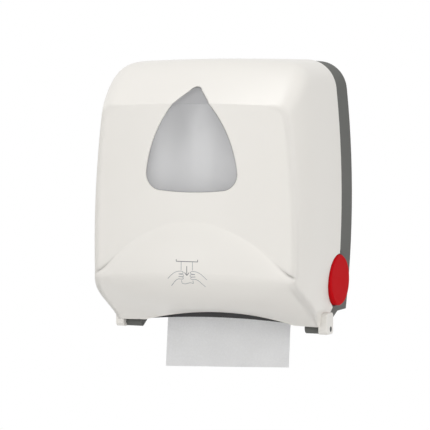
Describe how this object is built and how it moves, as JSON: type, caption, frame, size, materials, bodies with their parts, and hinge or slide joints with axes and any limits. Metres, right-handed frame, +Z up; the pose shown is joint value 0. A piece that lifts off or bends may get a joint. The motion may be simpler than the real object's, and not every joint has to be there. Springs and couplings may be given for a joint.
{
  "type": "paper towel dispenser",
  "caption": "Wall-hung roll towel dispenser with a hinged cover, a window, a side feed knob and a drum that cuts the sheet as it is pulled.",
  "frame": {"origin": "centre of the wall face of the back plate", "axes": "+X to the right seen from the front, +Y into the wall, +Z up"},
  "size_m": [0.342, 0.2145, 0.4621],
  "materials": {
    "white_shell": "moulded warm white, light gloss",
    "grey_plate": "moulded dark grey",
    "smoked_pane": "smoked clear",
    "red_knob": "moulded red",
    "black_plastic": "moulded black",
    "chassis_grey": "moulded mid grey",
    "drum_plastic": "moulded light grey",
    "bearing_white": "natural acetal",
    "steel": "bright",
    "spring_steel": "oiled",
    "rubber": "matt",
    "paper": "soft tissue",
    "cardboard": "raw board"
  },
  "bodies": {
    "chassis": {"back_plate": "grey_plate", "right_side_frame": "chassis_grey", "left_side_frame": "chassis_grey", "right_roll_arm": "chassis_grey", "left_roll_arm": "chassis_grey", "frame_screws": "steel", "arm_screws": "steel", "paper_guide": "black_plastic", "guide_screws": "steel", "right_drum_bush": "bearing_white", "left_drum_bush": "bearing_white", "cam_ring": "bearing_white", "latch_strike": "steel", "strike_screw": "steel", "hinge_pins": "black_plastic", "spring_post": "steel", "return_spring": "spring_steel", "paper_web": "paper", "paper_tail": "paper"},
    "cover": {"front_cover": "white_shell", "cover_knob_wall": "white_shell", "window_pane": "smoked_pane"},
    "lock": {"lock_barrel": "steel", "latch_cam": "steel", "lock_nut": "steel"},
    "roll": {"paper_roll": "paper", "roll_core": "cardboard", "right_roll_hub": "bearing_white", "left_roll_hub": "bearing_white"},
    "drum": {"drum_front_shell": "drum_plastic", "drum_rear_shell": "drum_plastic", "right_drum_cap": "drum_plastic", "left_drum_cap": "drum_plastic", "drive_shaft": "steel", "shaft_clip": "spring_steel", "feed_knob": "red_knob", "crank_disc": "bearing_white", "grip_strips": "rubber"},
    "knife": {"knife_carrier": "black_plastic", "knife_blade": "steel", "blade_screws": "steel", "cam_follower": "steel"},
    "pinch": {"pinch_shaft": "steel", "pinch_sleeves": "rubber", "pinch_clips": "spring_steel"}
  },
  "joints": [
    {"name": "cover_hinge", "type": "hinge", "parent": "chassis", "child": "cover", "pos_m": [0, -0.09, -0.21], "axis": [1, 0, 0], "range_deg": [0, 95]},
    {"name": "lock_turn", "type": "hinge", "parent": "cover", "child": "lock", "pos_m": [0, -0.066, 0.165], "axis": [0, 0, -1], "range_deg": [0, 90]},
    {"name": "drum_spin", "type": "hinge", "parent": "chassis", "child": "drum", "pos_m": [0, -0.05, -0.141], "axis": [-1, 0, 0], "continuous": true, "deforming": ["return_spring", "paper_web"]},
    {"name": "knife_swing", "type": "hinge", "parent": "drum", "child": "knife", "pos_m": [0, -0.05235, -0.1141], "axis": [-1, 0, 0], "range_deg": [0, 25]},
    {"name": "roll_spin", "type": "hinge", "parent": "chassis", "child": "roll", "pos_m": [0, -0.105, 0.02], "axis": [-1, 0, 0], "continuous": true},
    {"name": "pinch_spin", "type": "hinge", "parent": "chassis", "child": "pinch", "pos_m": [0, -0.01451, -0.11174], "axis": [-1, 0, 0], "continuous": true}
  ],
  "couplings": [
    {"joint": "roll_spin", "follows": "drum_spin", "ratio": -0.45562},
    {"joint": "pinch_spin", "follows": "drum_spin", "ratio": -5.4286}
  ]
}
